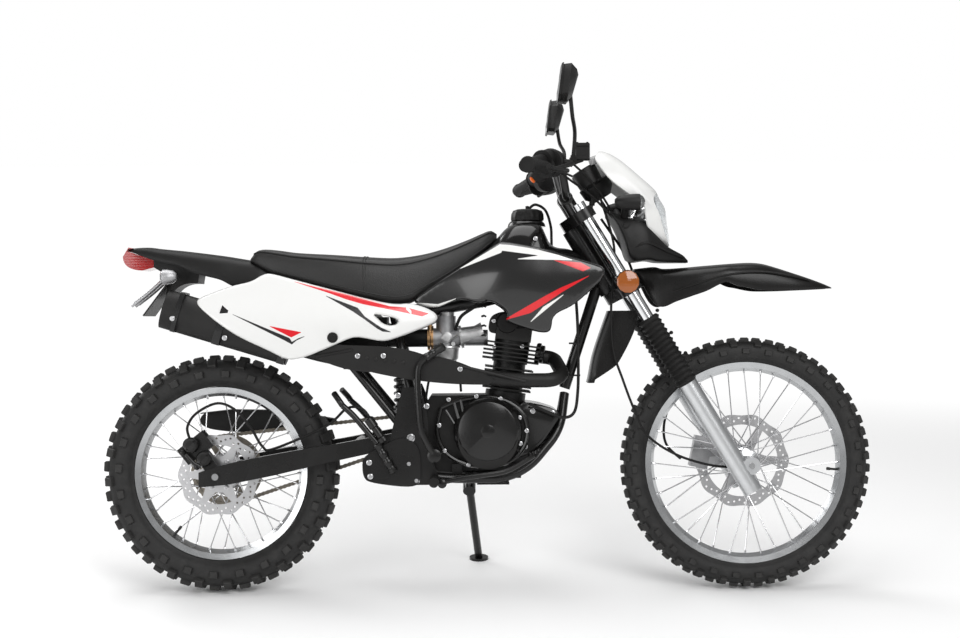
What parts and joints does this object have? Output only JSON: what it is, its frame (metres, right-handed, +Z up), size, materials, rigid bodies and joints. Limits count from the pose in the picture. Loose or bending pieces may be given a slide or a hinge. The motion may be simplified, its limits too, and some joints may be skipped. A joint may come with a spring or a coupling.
{
  "type": "dual sport motorcycle",
  "caption": "Light single-cylinder dual sport motorcycle with block tyres, laced wheels, high exhaust and a tall seat, parked on its side stand.",
  "frame": {"origin": "on the floor, under the middle of the motorcycle's outline as it stands on its side stand", "axes": "+X towards the front wheel, +Y towards the rider's left, to which the machine leans, +Z up"},
  "size_m": [2.0838, 0.8058, 1.4099],
  "materials": {
    "tyre_rubber": "matte",
    "polished_rim": "satin",
    "hub_grey": "satin",
    "plated_spoke": "polished",
    "disc_steel": "brushed",
    "chain_steel": "oiled",
    "fork_chrome": "polished",
    "fork_silver": "satin",
    "black_rubber": "matte",
    "black_paint": "satin",
    "swing_arm_black": "satin",
    "black_plastic": "matte",
    "white_plastic": "gloss",
    "black_gloss": "gloss",
    "tank_paint": "gloss",
    "clear_lens": "clear",
    "red_lens": "clear",
    "engine_black": "satin",
    "cast_grey": "cast",
    "exhaust_black": "matte",
    "seat_cover": "grained"
  },
  "bodies": {
    "chassis": {"drive_chain": "chain_steel", "front_sprocket": "chain_steel", "frame_backbone": "black_paint", "frame_cradle": "black_paint", "rear_subframe": "black_paint", "swing_arm": "swing_arm_black", "rear_spindles": "fork_chrome", "crankcase": "engine_black", "cylinder_barrel": "engine_black", "cylinder_head": "engine_black", "carburettor": "cast_grey", "air_box": "black_plastic", "exhaust_pipe": "exhaust_black", "silencer": "exhaust_black", "heat_shield": "exhaust_black", "fuel_tank": "tank_paint", "fuel_cap": "black_plastic", "tank_shrouds": "black_gloss", "seat": "seat_cover", "side_panels": "white_plastic", "tail_fender": "black_plastic", "tail_light": "red_lens", "plate_bracket": "black_plastic", "rear_signals": "black_plastic", "skid_plate": "black_paint", "foot_pegs": "black_rubber", "rear_shock": "black_paint", "rear_brake": "black_paint"},
    "front_wheel": {"front_tyre": "tyre_rubber", "front_rim": "polished_rim", "front_hub": "hub_grey", "front_spokes": "plated_spoke", "front_disc": "disc_steel"},
    "rear_wheel": {"rear_tyre": "tyre_rubber", "rear_rim": "polished_rim", "rear_hub": "hub_grey", "rear_spokes": "plated_spoke", "rear_disc": "disc_steel", "rear_sprocket": "chain_steel"},
    "steering": {"fork_tubes": "fork_chrome", "fork_sliders": "fork_silver", "fork_boots": "black_rubber", "triple_clamps": "black_paint", "front_axle": "fork_chrome", "handlebar": "black_paint", "hand_controls": "black_rubber", "mirrors": "black_plastic", "headlight_cowl": "white_plastic", "headlight_lens": "clear_lens", "headlight_chin": "black_plastic", "front_mudguard": "black_gloss", "front_signals": "black_plastic", "front_brake": "black_paint"},
    "side_stand": {"side_stand": "black_paint"}
  },
  "joints": [
    {"name": "steering_head", "type": "hinge", "parent": "chassis", "child": "steering", "pos_m": [0.34554, -0.065, 0.78578], "axis": [-0.515, 0.1341, 0.8466], "range_deg": [-40, 40]},
    {"name": "front_wheel_axle", "type": "hinge", "parent": "steering", "child": "front_wheel", "pos_m": [0.70186, -0.1359, 0.33815], "axis": [0, 0.9877, -0.1564], "continuous": true},
    {"name": "rear_wheel_axle", "type": "hinge", "parent": "chassis", "child": "rear_wheel", "pos_m": [-0.72214, -0.13887, 0.31938], "axis": [0, 0.9877, -0.1564], "continuous": true},
    {"name": "side_stand_hinge", "type": "hinge", "parent": "chassis", "child": "side_stand", "pos_m": [-0.05014, -0.05235, 0.25201], "axis": [0, 0.8885, 0.4589], "range_deg": [0, 95]}
  ]
}
